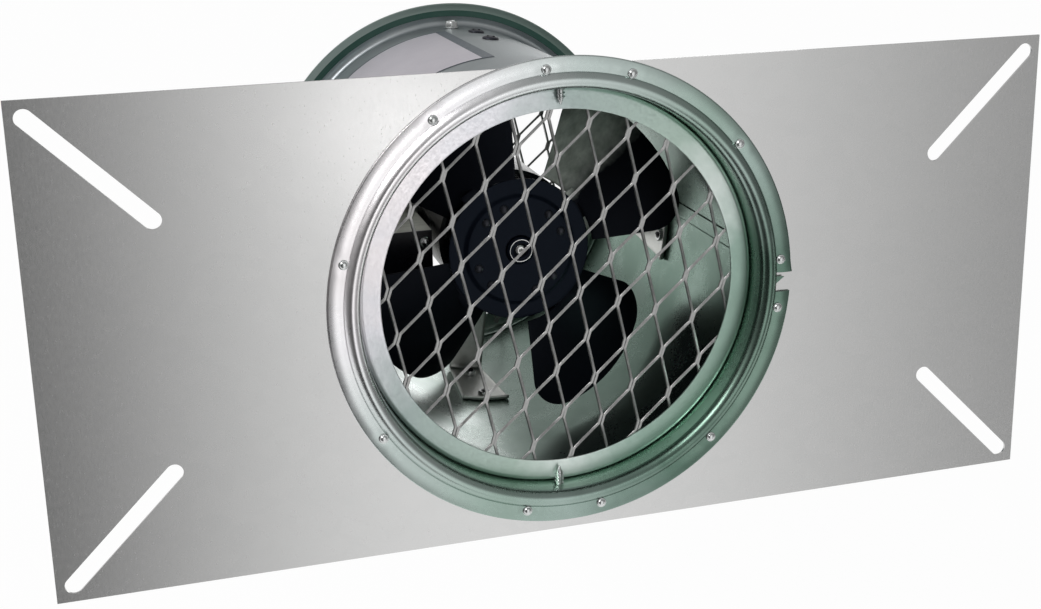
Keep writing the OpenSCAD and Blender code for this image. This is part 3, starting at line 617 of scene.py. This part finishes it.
def housing_tube():
    """Both flanges, beads and the barrel in one skin, the open face of the front flange, tab and seam."""
    shell = Shell()
    mouth = front_bead()
    rear = [(r, REAR_Y - y) for r, y in reversed(front_flange()[:-1] + mouth)]
    barrel_r = TUBE_R - TUBE_T / 2
    y0, y1 = mouth[-1][1], rear[0][1]
    at_hole = spread(BUSH_Y - 11, BUSH_Y + 11, 9)
    stations = spread(y0, at_hole[0], 8)[1:-1] + at_hole + spread(at_hole[-1], y1, 8)[1:-1]
    barrel = [(barrel_r, y) for y in stations]
    profile = strip(mouth + barrel + rear, TUBE_T)
    steps = 480
    rows = [[polar(r, y, 360 * k / steps) for k in range(steps)] for r, y in profile]
    shell.grid(rows, close_u=True, close_v=True)

    # Hole for the cable bushing
    centre = polar(TUBE_R, BUSH_Y, BUSH_ANGLE)
    keep = []
    for face in shell.f:
        middle = sum((shell.v[i] for i in face), Vector()) / len(face)
        if (middle - centre).length > BUSH_HOLE:
            keep.append(face)
    shell.f = keep

    # The front flange is an open ring that ends at the notch
    line = front_flange()
    line[-1] = (CREASE_R - 0.2, FLANGE_Y - 0.1)
    section = strip(line, TUBE_T)
    columns = []
    for k in range(steps + 1):
        column = []
        for r, y in section:
            start = math.degrees(math.asin(1.0 / r))
            stop = 360 - math.degrees(math.asin((NOTCH_W - 1.0) / r))
            a = start + (stop - start) * k / steps
            # The flange bends open next to the notch
            flare = max(0.0, 1 - (a - start) / 3.2) ** 1.6 * max(0.0, (r - 119.5) / 7.5)
            column.append(pucker(polar(r + 0.5 * flare, y - 0.55 * flare, a)))
        columns.append(column)
    shell.tube(columns)

    # Pointed tab left standing in the notch, bent out a little
    depth = FLANGE_R - CREASE_R
    points = [(CREASE_R - 1, -NOTCH_W * 0.1), (CREASE_R - 1, -NOTCH_W * 0.55),
              (CREASE_R + depth * 0.5, -NOTCH_W * 0.12)]
    front = [Vector((x, FLANGE_Y - 0.5 - max(0, x - CREASE_R) * 0.22, z)) for x, z in points]
    back = [p + Vector((0, 1.0, 0)) for p in front]
    shell.tube([front, back])

    # Lap of the rolled seam inside the barrel
    lap = []
    for da in spread(0, 10, 12):
        a = 2.0 + math.degrees(da / BORE_R)
        lift = 0.7 * min(1, da / 0.4) if da < 1 else 0.7
        lap.append([polar(BORE_R - lift, y, a) for y in spread(25, 247, 60)])
    shell.grid(lap)
    make(shell, "tube_shell", MAT["tube"], "casing", "housing_tube", sharp=40)


# Grilles


def from_end(side, depth):
    """Y at a depth into the tube from its front or rear end."""
    return depth if side == "front" else REAR_Y - depth


def grille_ring(side):
    """Flat face with a rolled inner edge, a rounded corner and a skirt."""
    r = RING_OUT - RING_T / 2
    line = [(RING_IN, 0.55), (RING_IN + 0.5, 0.5)] + [(x, 0.5) for x in spread(RING_IN + 1.5, r - 2.6, 5)]
    for k in range(10):
        a = math.radians(10 * k)
        line.append((r - 2.5 + 2.5 * math.sin(a), 0.5 + 2.5 * (1 - math.cos(a))))
    line += [(r, y) for y in spread(3.6, SKIRT - 0.3, 5)]
    section = strip(line, RING_T)
    shell = Shell()
    shell.revolve([(a, from_end(side, RING_RECESS + b)) for a, b in section], 384, closed=True)
    node = f"{side}_grille_ring"
    make(shell, f"{side}_ring", MAT["ring"], "casing", node, sharp=40)


# Section of a strand with its corners cut, in parts of its width and thickness
STRAND_SECTION = [(-0.5, -0.38), (-0.38, -0.5), (0.38, -0.5), (0.5, -0.38),
                  (0.5, 0.38), (0.38, 0.5), (-0.38, 0.5), (-0.5, 0.38)]


def strand(shell, index, hand, y_mid):
    """One strip of the expanded metal along the long diagonal, bent to one side at each knot."""
    half_long = MESH_LONG / 2
    lean = math.radians(MESH_LEAN)
    long_axis = Vector((-math.sin(lean), 0, math.cos(lean)))
    short_axis = Vector((math.cos(lean), 0, math.sin(lean)))
    offset = STRAND_W * STRAND_OFFSET
    even = (index + 0.5) * MESH_SHORT + hand * offset
    odd = (index + 0.5 + hand * 0.5) * MESH_SHORT - hand * offset
    rows = int(MESH_R / half_long) + 2
    stops = [0, KNOT * 0.7, KNOT, KNOT + 0.05] + spread(0.2, 0.8, 6) + [0.95 - KNOT, 1 - KNOT, 1 - KNOT * 0.7]
    points = []
    for row in range(-rows, rows):
        ua, ub = (even, odd) if row % 2 == 0 else (odd, even)
        for t in stops:
            along = min(max((t - KNOT) / (1 - 2 * KNOT), 0), 1)
            wobble = 0.16 * math.sin(index * 5.1 + row * 2.3 + hand + t * 2.0)
            lean_in = math.copysign(STRAND_TILT, ub - ua) * max(math.sin(PI * along), 0) ** 0.5
            points.append((ua + (ub - ua) * along + wobble, (row + t) * half_long, lean_in))
    rings, run = [], []
    for k, (u, v, tilt) in enumerate(points):
        p = short_axis * u + long_axis * v
        if math.hypot(p.x, p.z) > MESH_R - 0.4:
            if len(rings) > 3:
                run.append(rings)
            rings = []
            continue
        q0, q1 = points[max(k - 1, 0)], points[min(k + 1, len(points) - 1)]
        along = (short_axis * (q1[0] - q0[0]) + long_axis * (q1[1] - q0[1])).normalized()
        side = along.cross(Vector((0, 1, 0))).normalized()
        wide = side * math.cos(tilt) + Vector((0, 1, 0)) * math.sin(tilt)
        deep = Vector((0, 1, 0)) * math.cos(tilt) - side * math.sin(tilt)
        centre = Vector((p.x, y_mid, p.z))
        rings.append([centre + wide * (a * STRAND_W * STRAND_WIDE) + deep * (b * MESH_T * STRAND_DEEP)
                      for a, b in STRAND_SECTION])
    if len(rings) > 3:
        run.append(rings)
    for rings in run:
        shell.tube(rings)


def grille_mesh(side):
    """Disc of expanded metal, as two bent strands for each row of diamonds."""
    shell = Shell()
    y_mid = from_end(side, MESH_RECESS + MESH_T / 2)
    count = int(MESH_R / MESH_SHORT) + 2
    for index in range(-count, count + 1):
        for hand in (-1, 1):
            strand(shell, index, hand, y_mid)
    node = f"{side}_grille_mesh"
    make(shell, f"{side}_mesh", MAT["mesh"], "casing", node, sharp=24)


def lathe(line, steps):
    """Rings round the X axis from a line of (x, r)."""
    turns = [2 * PI * k / steps for k in range(steps)]
    return [[Vector((x, r * math.cos(a), r * math.sin(a))) for a in turns] for x, r in line]


def hexagon(x, half, cap, grow=1.0, y=0.0):
    """Ring round X of a hexagon that is half wide to each flat, its corners cut at cap."""
    ring = []
    for k in range(48):
        a = 2 * PI * k / 48
        r = grow * min(half / math.cos((a + PI / 6) % (PI / 3) - PI / 6), cap)
        ring.append(Vector((x, y + r * math.cos(a), r * math.sin(a))))
    return ring


def screw_thread(shell, radius, x0, x1, pitch, matrix, point=True):
    """Threaded shank along X from x0 to x1, as one helical surface; a point tapers towards x0."""
    steps = 28
    rows = []
    taper = 3.2 if point else 0.4
    for k in range(int((x1 - x0) / pitch * steps) + 1):
        a = 2 * PI * k / steps
        x = x0 + pitch * k / steps
        size = min(1.0, 0.22 + 0.78 * (x - x0) / taper) if point else 1.0
        root, crest = radius * 0.66 * size, radius * size
        row = []
        for dx, r in ((0.0, root), (0.34, root), (0.46, crest), (0.54, crest), (0.66, root), (1.0, root)):
            px = min(x + dx * pitch, x1)
            row.append(Vector((px, r * math.cos(a), r * math.sin(a))))
        rows.append(row)
    shell.grid(rows, matrix=matrix)
    core = [(x0 - 0.02, 0.05), (x0 + 0.5, radius * 0.17), (x0 + taper, radius * 0.64), (x1, radius * 0.64)]
    shell.tube(lathe(core, 24), matrix=matrix)


def hex_screws(side):
    """Hex washer head screws along the radius, with their threaded tips inside the tube."""
    shell = Shell()
    for angle in SCREW_ANGLES[side]:
        place = turn(angle) @ Matrix.Translation((TUBE_R + 0.2, from_end(side, SCREW_RECESS), 0))
        place = place @ Matrix.Rotation(math.radians(17), 4, "X")
        shell.tube(lathe([(0, 4.7), (0.15, 5.0), (0.7, 5.0), (1.0, 4.55)], 48), matrix=place)
        head = ((0.9, 1.0), (4.2, 1.0), (4.75, 0.93), (4.98, 0.82))
        rings = [hexagon(x, 4.0, 4.5, grow) for x, grow in head]
        rings += lathe([(4.98, 3.0), (4.5, 2.7), (4.4, 0.2)], 48)
        shell.tube(rings, matrix=place)
        screw_thread(shell, 2.6, -11.0, 0.2, 2.0, place)
    node = f"{side}_grille_screws"
    make(shell, f"{side}_screws", MAT["zinc"], "casing", node, sharp=38)


def round_head(shell, place, r, h, recess=False, steps=40):
    """Low dome along local X from the origin, with or without a cross recess."""
    rows = [(0.0, r * 0.985), (h * 0.12, r)]
    for a in (15, 30, 45, 60, 75):
        rows.append((h * math.sin(math.radians(a)) * 0.88 + h * 0.12, r * math.cos(math.radians(a))))
    if recess:
        rows += [(h * 0.99, r * 0.2), (h * 0.6, r * 0.14)]
    rows.append((h * (0.6 if recess else 1.0), r * 0.02))
    rings = lathe(rows, steps)

    # Four arms of the recess, pulled outwards and down from the middle
    for k in range(steps if recess else 0):
        arm = max(abs(math.cos(2 * PI * k / steps)), abs(math.sin(2 * PI * k / steps)))
        if arm > 0.965:
            for j, reach, sink in ((-4, 0.6, 0.0), (-3, 0.5, 0.5)):
                x, y, z = rings[j][k]
                grow = r * reach / math.hypot(y, z)
                rings[j][k] = Vector((x - h * sink, y * grow, z * grow))
    shell.tube(rings, matrix=place)


def rivets():
    """Round heads on the flange with a pressed rim, and their tails behind the plate."""
    shell = Shell()
    head_y = FLANGE_Y - 0.5 - CROWN - 0.05
    line = [(-0.55, 2.5), (-0.1, 2.6), (0.18, 2.6), (0.32, 2.42), (0.34, 2.1), (0.62, 1.95), (0.98, 1.6),
            (1.2, 1.1), (1.28, 0.6), (1.3, 0.02)]
    for angle in RIVET_ANGLES:
        head = turn(angle) @ Matrix.Translation((RIVET_R, head_y, 0)) @ Matrix.Rotation(-PI / 2, 4, "Z")
        shell.tube(lathe(line, 40), matrix=head)
        tail = turn(angle) @ Matrix.Translation((RIVET_R, 0.05, 0)) @ Matrix.Rotation(PI / 2, 4, "Z")
        round_head(shell, tail, 2.6, 0.85, steps=32)
    make(shell, "rivets", MAT["zinc"], "casing", "flange_rivets", sharp=44)


# Impeller


def blade_point(x, z):
    """Point of the cambered and pitched sheet over (x, z) of its outline."""
    pitch = math.radians(PITCH)
    camber = CAMBER_R - BLADE_T / 2
    u = z / math.cos(pitch)
    y = 0.0
    # Each round brings the point of the curved sheet nearer to the one over z
    for _ in range(12):
        y = camber - math.sqrt(max(camber * camber - u * u, 1))
        u = (z + y * math.sin(pitch)) / math.cos(pitch)
    return Vector((x, PAD_Y + BLADE_T / 2 + y * math.cos(pitch) + u * math.sin(pitch), z))


def blade(index):
    """Pitched and cambered paddle with rounded outer corners, and the flat pad that is riveted to the hub."""
    tip_r = TIP_R - 0.35
    corner_r = tip_r - CORNER
    lean = math.degrees(math.asin(CORNER / corner_r))
    half = BLADE_HALF - lean
    centre = polar(corner_r, 0, half)
    corner = []
    for k in range(15):
        p = centre + polar(CORNER, 0, BLADE_HALF + 90 - (90 + lean) * k / 14)
        corner.append((p.x, p.z))
    tip = [polar(tip_r, 0, half - 2 * half * k / 10) for k in range(1, 10)]
    top = np.array(corner + [(p.x, p.z) for p in tip] + [(x, -z) for x, z in reversed(corner)])
    last = len(top) - 1
    low = [polar(BLADE_IN, 0, BLADE_HALF * (1 - 2 * k / last)) for k in range(last + 1)]
    root = np.array([(p.x, p.z) for p in low])
    steps = 22
    left = np.array([root[0] + (top[0] - root[0]) * k / steps for k in range(steps + 1)])
    right = np.array([root[-1] + (top[-1] - root[-1]) * k / steps for k in range(steps + 1)])

    # Points between the root, the outline of the tip and the two straight sides
    grid = []
    for i in range(steps + 1):
        s = i / steps
        row = []
        for j in range(last + 1):
            t = j / last
            q = (1 - s) * root[j] + s * top[j] + (1 - t) * left[i] + t * right[i]
            q -= (1 - s) * ((1 - t) * root[0] + t * root[-1]) + s * ((1 - t) * top[0] + t * top[-1])
            row.append(blade_point(q[0], q[1]))
        grid.append(row)
    shell = Shell()
    place = turn(BLADE_ANGLE + 90 * index)
    slab(shell, grid, BLADE_T, place, 0.3)
    pad = [[Vector((x, PAD_Y + BLADE_T / 2, z)) for z in spread(-PAD_HALF, PAD_HALF, 8)]
           for x in spread(PAD_IN, PAD_OUT, 8)]
    slab(shell, pad, BLADE_T, place, 0.3)
    # The first blade carries a painted sheen
    look = "blade_painted_sheen" if index == 0 else "blade"
    node = f"blade_{index + 1}"
    make(shell, f"paddle_{index + 1}", MAT[look], "rotor", node, sharp=50)


def hub():
    """Pressed disc with a raised middle."""
    y, low = HUB_Y, HUB_Y + HUB_STEP
    line = [(BOSS_R + 0.2, y + HUB_T), (BOSS_R + 0.2, y + 0.25), (BOSS_R + 0.45, y)]
    line += [(r, y) for r in spread(BOSS_R + 1.2, MID_R - 0.9, 8)]
    line += [(MID_R - 0.45, y + 0.06), (MID_R, y + 0.3), (MID_R + HUB_STEP * 0.7, y + HUB_STEP * 0.86),
             (MID_R + HUB_STEP + 0.5, low)]
    line += [(r, low) for r in spread(MID_R + HUB_STEP + 1.2, HUB_R - 0.8, 4)]
    line += [(HUB_R - 0.25, low + 0.06), (HUB_R, low + 0.3), (HUB_R, low + HUB_T - 0.3),
             (HUB_R - 0.3, low + HUB_T), (MID_R + HUB_STEP * 0.6, low + HUB_T),
             (MID_R - HUB_STEP * 0.4, y + HUB_T)]
    shell = Shell()
    shell.revolve(line, 200, closed=True)
    make(shell, "hub_plate", MAT["hub"], "rotor", "hub_disc", sharp=35)


def boss():
    """Turned boss with a bright chamfer round the shaft."""
    y = BOSS_FACE
    line = [(4.05, y + 16), (4.05, y + 0.9), (4.7, y + 0.35), (4.9, y + 0.3), (5.5, y + 0.3),
            (5.7, y + 0.02), (5.9, y), (BOSS_R - 1.3, y), (BOSS_R - 1.0, y + 0.12),
            (BOSS_R - 0.15, y + 1.0), (BOSS_R, y + 1.35), (BOSS_R, HUB_Y + HUB_T + 0.1),
            (31, HUB_Y + HUB_T + 0.1), (31, PAD_Y - 0.1), (BOSS_R, PAD_Y - 0.1),
            (BOSS_R, PAD_Y + 11.6), (BOSS_R - 0.4, PAD_Y + 12), (4.3, PAD_Y + 12)]
    shell = Shell()
    shell.revolve(line, 128, closed=True)
    make(shell, "boss", MAT["hub"], "rotor", "hub_boss", sharp=30)
    y -= 0.03
    edge = [(6.3, y + 0.3), (6.4, y), (6.5, y - 0.04), (6.75, y - 0.04), (6.85, y), (6.95, y + 0.3)]
    rim = Shell()
    rim.revolve(edge, 128, closed=True)
    make(rim, "boss_rim", MAT["shaft"], "rotor")


def shaft():
    """Round shaft with a centre hole and a chamfer at the end that shows."""
    y = BOSS_FACE + 0.6
    line = [(0.02, y + 0.8), (0.8, y + 0.2), (1.1, y), (2.1, y), (2.5, y + 0.2), (4.0, y + 1.9),
            (4.0, MOTOR_BACK + 3.0), (3.5, MOTOR_BACK + 3.5), (0.02, MOTOR_BACK + 3.5)]
    shell = Shell()
    shell.revolve(line, 64)
    make(shell, "shaft", MAT["shaft"], "rotor", "motor_shaft", sharp=35)


def hub_rivets():
    """Two rivets for each blade's pad, with heads on both sides."""
    shell = Shell()
    for i in range(4):
        base = turn(BLADE_ANGLE + 90 * i)
        for z in (-BLADE_RIVET_Z, BLADE_RIVET_Z):
            front = Matrix.Translation((BLADE_RIVET_R, HUB_Y + 0.02, z)) @ Matrix.Rotation(-PI / 2, 4, "Z")
            round_head(shell, base @ front, 2.6, 1.35, steps=32)
            back = Matrix.Translation((BLADE_RIVET_R, PAD_Y + BLADE_T - 0.02, z))
            round_head(shell, base @ back @ Matrix.Rotation(PI / 2, 4, "Z"), 2.6, 0.85, steps=32)
    make(shell, "paddle_rivets", MAT["oxide"], "rotor", "blade_rivets", sharp=40)


# Motor legs and their fasteners


def leg(index, name, node):
    """Bent strip: arm, bend, foot along the tube and a small turned-in lip."""
    facing = 1 if index < 2 else -1
    bend, lip_bend = 2.6, 1.4
    mid_r = FOOT_R - LEG_T / 2
    y_arm = LEG_Y + LEG_T / 2
    y_free = (LEG_Y + LEG_T + FOOT_LEN) if facing > 0 else LEG_Y - FOOT_LEN
    y_end = y_free - facing * LEG_T / 2
    # Each station is the distance below the foot's surface, y and half the width
    stations = []
    reach = mid_r - bend - LEG_IN
    for k in range(15):
        stations.append((bend + reach * (1 - k / 14), y_arm, LEG_W / 2))
    for k in range(1, 9):
        a = PI / 2 * k / 8
        stations.append((bend * (1 - math.sin(a)), y_arm + facing * bend * (1 - math.cos(a)), LEG_W / 2))
    y_start = y_arm + facing * bend
    y_stop = y_end - facing * lip_bend
    for k in range(1, 15):
        t = k / 14
        stations.append((0, y_start + (y_stop - y_start) * t, LEG_W / 2 + (FOOT_W - LEG_W) / 2 * t))
    for k in range(1, 6):
        a = PI / 2 * k / 5
        stations.append((lip_bend * (1 - math.cos(a)), y_stop + facing * lip_bend * math.sin(a), FOOT_W / 2))
    stations.append((LIP_H - LEG_T / 2 - 0.2, y_end, FOOT_W / 2 - 0.1))
    rows = []
    for drop, y, half in stations:
        row = []
        for z in spread(-half + 0.35, half - 0.35, 12):
            x = math.sqrt(mid_r * mid_r - z * z) - drop
            row.append(Vector((x, y, z)))
        rows.append(row)
    shell = Shell()
    slab(shell, rows, LEG_T, turn(LEG_ANGLE + 90 * index), 0.35)
    make(shell, name, MAT["leg"], "casing", node, sharp=45)


def leg_fasteners():
    """Truss heads outside with a cross recess, nuts inside."""
    screws, nuts = Shell(), Shell()
    for index in range(4):
        facing = 1 if index < 2 else -1
        for along in LEG_SCREWS:
            y = LEG_Y + LEG_T + along if facing > 0 else LEG_Y - along
            base = turn(LEG_ANGLE + 90 * index)
            head = Matrix.Translation((TUBE_R + 0.25, y, 0)) @ Matrix.Rotation(0.5 + index, 4, "X")
            round_head(screws, base @ head, 5.4, 2.0, True, steps=64)
            shank = base @ Matrix.Translation((0, y, 0))
            screw_thread(screws, 2.0, FOOT_R - LEG_T - 4.5, FOOT_R, 0.7, shank, point=False)
            x0, x1 = FOOT_R - LEG_T - 3.3, FOOT_R - LEG_T - 0.1
            sides = ((x0, 3.45), (x0 + 0.35, 4.2), (x1 - 0.35, 4.2), (x1, 3.45))
            rings = [hexagon(x, 3.5, cap, y=y) for x, cap in sides]
            hole = [[p + Vector((0, y, 0)) for p in ring] for ring in lathe([(x1, 2.05), (x0, 2.05)], 48)]
            nuts.grid(rings + hole, close_u=True, close_v=True, matrix=base)
    make(screws, "leg_screw_heads", MAT["oxide"], "casing", "leg_screws", sharp=40)
    make(nuts, "foot_nuts", MAT["zinc"], "casing", "leg_nuts", sharp=30)


def build():
    """Makes every piece; the rest of the CAD nodes keep their own shape."""
    housing_tube()
    for side in ("front", "rear"):
        grille_ring(side)
        grille_mesh(side)
        hex_screws(side)
    rivets()
    for index in range(4):
        blade(index)
    hub()
    boss()
    shaft()
    hub_rivets()
    for index, side in enumerate(("upper", "left", "lower", "right")):
        leg(index, f"leg_{side}", f"motor_leg_{side}")
    leg_fasteners()


build()


# Camera, light and ground


def camera():
    """The photograph's view, fitted to the outlines of the plate, its slots and the rings."""
    data = bpy.data.cameras.new("camera")
    data.lens, data.sensor_width = 47.94, 36.0
    data.shift_x, data.shift_y = 0.0101, -0.1004
    data.clip_start, data.clip_end = 0.01, 50
    obj = bpy.data.objects.new("camera", data)
    right, up = Vector((0.96386, -0.26542, -0.02275)), Vector((0.08554, 0.22747, 0.97002))
    forward = Vector((0.25229, 0.93691, -0.24195))
    m = Matrix.Identity(4)
    for k in range(3):
        m[k][0], m[k][1], m[k][2] = right[k], up[k], -forward[k]
    m[0][3], m[1][3], m[2][3] = -0.2087, -0.6627, 0.2255
    obj.matrix_world = m
    bpy.context.scene.collection.objects.link(obj)
    bpy.context.scene.camera = obj


def lamp(name, place, target, size, power, colour=(1, 1, 1), beam=180):
    """Soft rectangular lamp that looks at target; beam is how wide it shines, in degrees."""
    data = bpy.data.lights.new(name, "AREA")
    data.shape, data.size, data.size_y = "RECTANGLE", size[0], size[1]
    data.energy, data.color = power, colour
    data.spread = math.radians(beam)
    obj = bpy.data.objects.new(name, data)
    obj.location = place
    obj.rotation_euler = (Vector(target) - Vector(place)).to_track_quat("-Z", "Y").to_euler()
    bpy.context.scene.collection.objects.link(obj)


def ground():
    """Pale floor that curves up into a backdrop, white to the camera and in reflections."""
    floor_z, back_y, bend_r = -0.42, 1.8, 0.4
    line = [(-0.3, floor_z), (back_y, floor_z)]
    for degrees in range(10, 91, 10):
        a = math.radians(degrees)
        line.append((back_y + bend_r * math.sin(a), floor_z + bend_r * (1 - math.cos(a))))
    line.append((back_y + bend_r, 0.1))
    shell = Shell()
    shell.grid([[Vector((x, y, z)) for x in (-4.0, 4.0)] for y, z in line])
    data = bpy.data.meshes.new("ground")
    data.from_pydata([tuple(p) for p in shell.v], [], shell.f)
    obj = bpy.data.objects.new("ground", data)
    bpy.context.scene.collection.objects.link(obj)
    data.shade_smooth()
    m = Nodes("ground_paper")
    paper = m.ramp(m.noise(3, 3), [(0.3, (0.86, 0.86, 0.86)), (0.7, (0.9, 0.9, 0.9))])
    m.set(Base_Color=paper, Roughness=0.9)
    path = m.new("ShaderNodeLightPath")
    seen = m.either(path.outputs["Is Glossy Ray"], path.outputs["Is Transmission Ray"])
    seen = m.math("MULTIPLY", m.either(path.outputs["Is Camera Ray"], seen), 0.97)
    light = m.new("ShaderNodeEmission").outputs[0]
    out = next(n for n in m.tree.nodes if n.type == "OUTPUT_MATERIAL")
    m.link(m.mix_shaders(seen, m.bsdf.outputs[0], light), out.inputs["Surface"])
    data.materials.append(m.material)


def world():
    """White for the camera; a studio that is darker to the sides for what the metal reflects."""
    studio = bpy.data.worlds.new("studio")
    studio.use_nodes = True
    bpy.context.scene.world = studio
    t = Tree(studio.node_tree)
    t.tree.nodes.clear()
    sep = t.new("ShaderNodeSeparateXYZ")
    t.link(t.new("ShaderNodeTexCoord").outputs["Generated"], sep.inputs[0])

    # Place round the horizon, 0.5 towards -Y and rising towards +X
    azimuth = t.math("ARCTAN2", sep.outputs["X"], t.math("MULTIPLY", sep.outputs["Y"], -1))
    place = t.math("ADD", t.math("MULTIPLY", azimuth, 1 / (2 * PI)), 0.5)
    low = t.ramp(place, [(0.0, 0.42), (0.2, 0.3), (0.3, 0.14), (0.45, 0.03), (0.485, 0.04), (0.515, 1.0),
                         (0.535, 1.15), (0.57, 0.92), (0.6, 0.36), (0.65, 0.2), (0.75, 0.16), (0.88, 0.3)])
    high = t.ramp(place, [(0.0, 0.4), (0.3, 0.75), (0.42, 0.5), (0.55, 0.35), (0.75, 0.3), (1.0, 0.4)])
    dark = t.new("ShaderNodeBackground")
    t.link(t.mix(t.remap(sep.outputs["Z"], 0.05, 0.45, 0, 1), low, high), dark.inputs[0])
    white = t.new("ShaderNodeBackground")
    white.inputs[0].default_value = (1, 1, 1, 1)
    path = t.new("ShaderNodeLightPath")
    seen = t.either(path.outputs["Is Camera Ray"], path.outputs["Is Transmission Ray"])
    out = t.new("ShaderNodeOutputWorld")
    t.link(t.mix_shaders(seen, dark.outputs[0], white.outputs[0]), out.inputs[0])


camera()
ground()
world()
lamp("key", (-1.5, -0.9, 1.5), (0, 0, 0), (0.9, 0.9), 20, (1.0, 0.985, 0.99))
lamp("rim", (0.3, 1.6, 1.5), (0, 0.15, 0), (2.2, 1.2), 1.5)
lamp("behind", (0.43, 1.24, 0.07), (-0.02, 0.2, -0.04), (0.6, 0.6), 0.055, beam=30)
lamp("glint", (0.10, -1.0, -0.10), (-0.06, 0, 0.09), (0.14, 0.14), 0.1, (1.0, 0.975, 0.985))

bpy.context.scene.view_settings.view_transform = "Standard"
